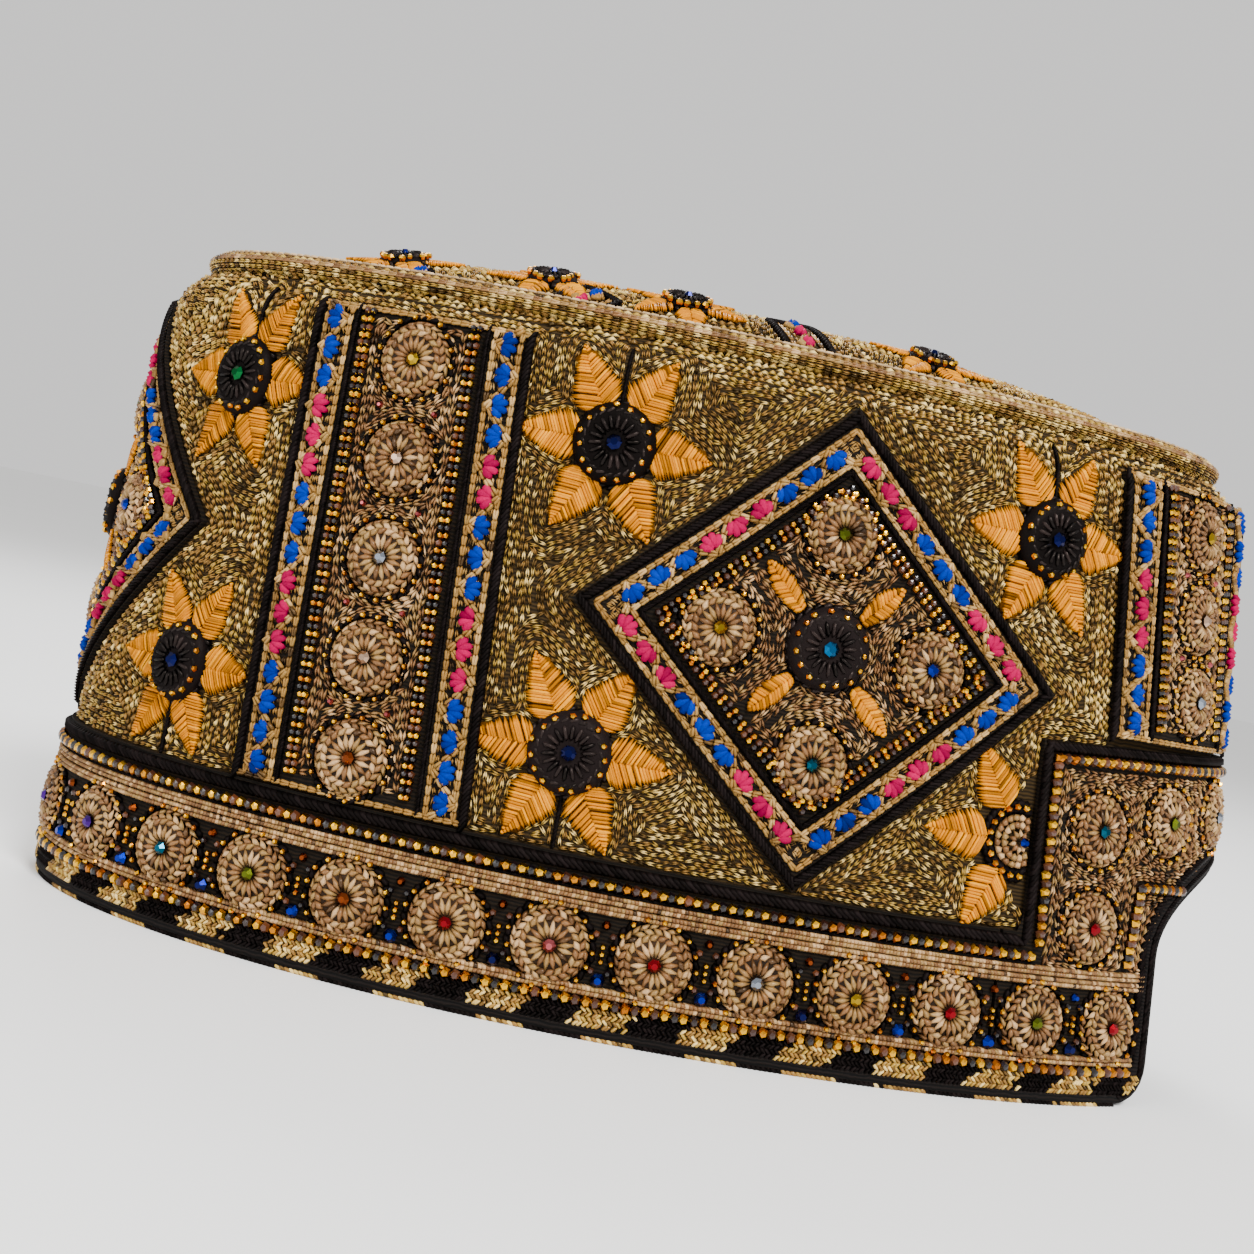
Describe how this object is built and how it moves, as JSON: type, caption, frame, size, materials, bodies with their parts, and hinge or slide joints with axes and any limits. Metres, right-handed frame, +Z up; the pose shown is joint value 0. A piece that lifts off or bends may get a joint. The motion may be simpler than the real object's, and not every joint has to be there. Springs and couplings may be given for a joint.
{
  "type": "embroidered cap",
  "caption": "Tall embroidered cloth cap with an arched notch over the forehead, a padded crown, a bound rim, raised rosette bands, diamonds and petalled flowers.",
  "frame": {"origin": "middle of the bounding box in plan, on the plane of the rim that the cap rests on", "axes": "+Z up; the notch faces -Y, so the cap is longest along Y; the wearer's right side faces -X"},
  "size_m": [0.116, 0.236, 0.136],
  "materials": {
    "khaki_cloth": "chain-stitched golden khaki thread",
    "tan_braid": "raised tan thread braid",
    "dark_binding": "black and tan bound edge",
    "orange_satin": "shiny orange-gold satin stitch",
    "black_thread": "black buttonhole thread"
  },
  "bodies": {
    "root": {"cap_wall_cloth": "khaki_cloth", "crown_cloth": "khaki_cloth", "crown_seam_piping": "tan_braid", "rim_binding": "dark_binding", "rim_rosette_band": "tan_braid", "front_arch_panel": "tan_braid", "side_band_right": "tan_braid", "side_band_left": "tan_braid", "front_band_right": "tan_braid", "front_band_left": "tan_braid", "diamond_right": "tan_braid", "diamond_right_boss": "black_thread", "diamond_left": "tan_braid", "diamond_left_boss": "black_thread", "diamond_back": "tan_braid", "diamond_back_boss": "black_thread", "petals_01": "orange_satin", "flower_boss_01": "black_thread", "petals_02": "orange_satin", "flower_boss_02": "black_thread", "petals_03": "orange_satin", "flower_boss_03": "black_thread", "petals_04": "orange_satin", "flower_boss_04": "black_thread", "petals_05": "orange_satin", "flower_boss_05": "black_thread", "petals_06": "orange_satin", "flower_boss_06": "black_thread", "petals_07": "orange_satin", "flower_boss_07": "black_thread", "petals_08": "orange_satin", "flower_boss_08": "black_thread", "petals_09": "orange_satin", "flower_boss_09": "black_thread", "petals_10": "orange_satin", "flower_boss_10": "black_thread", "petals_11": "orange_satin", "flower_boss_11": "black_thread", "petals_12": "orange_satin", "flower_boss_12": "black_thread", "petals_13": "orange_satin", "flower_boss_13": "black_thread", "petals_14": "orange_satin", "flower_boss_14": "black_thread", "petals_15": "orange_satin", "flower_boss_15": "black_thread", "petals_16": "orange_satin", "flower_boss_16": "black_thread", "petals_17": "orange_satin", "flower_boss_17": "black_thread", "petals_18": "orange_satin", "flower_boss_18": "black_thread", "petals_19": "orange_satin", "flower_boss_19": "black_thread", "petals_20": "orange_satin", "flower_boss_20": "black_thread"}
  },
  "joints": []
}
